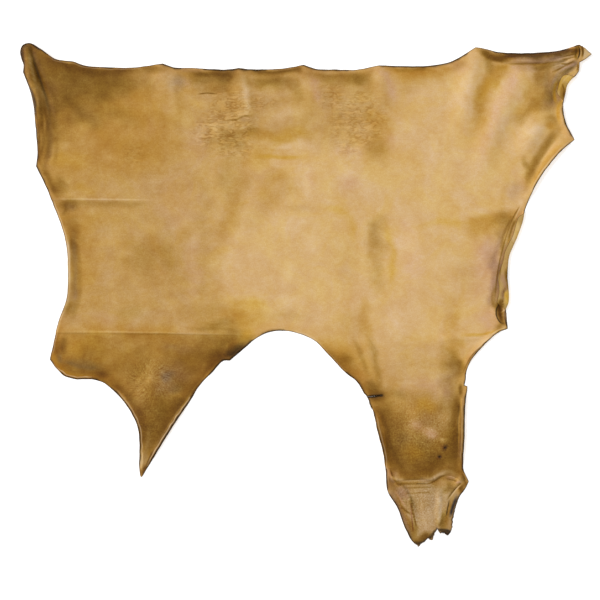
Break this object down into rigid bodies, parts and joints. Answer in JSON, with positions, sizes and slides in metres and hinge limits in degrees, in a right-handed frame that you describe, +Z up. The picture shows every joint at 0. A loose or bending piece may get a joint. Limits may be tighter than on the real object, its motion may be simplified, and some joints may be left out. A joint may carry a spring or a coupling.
{
  "type": "leather hide",
  "caption": "Whole vegetable-tanned leather hide with two shanks, laid out flat grain side up, with soft folds, a rolled corner and turned-over edges.",
  "frame": {"origin": "middle of the hide's bounding box, on the surface it lies on", "axes": "+X along the straight back edge towards the gathered corner, +Y from the shanks to the back edge, +Z up out of the grain side"},
  "size_m": [1.5363, 1.3531, 0.0287],
  "materials": {
    "grain_leather": "satin aniline grain, unevenly tanned tan to ochre"
  },
  "bodies": {
    "root": {"hide": "grain_leather"}
  },
  "joints": []
}
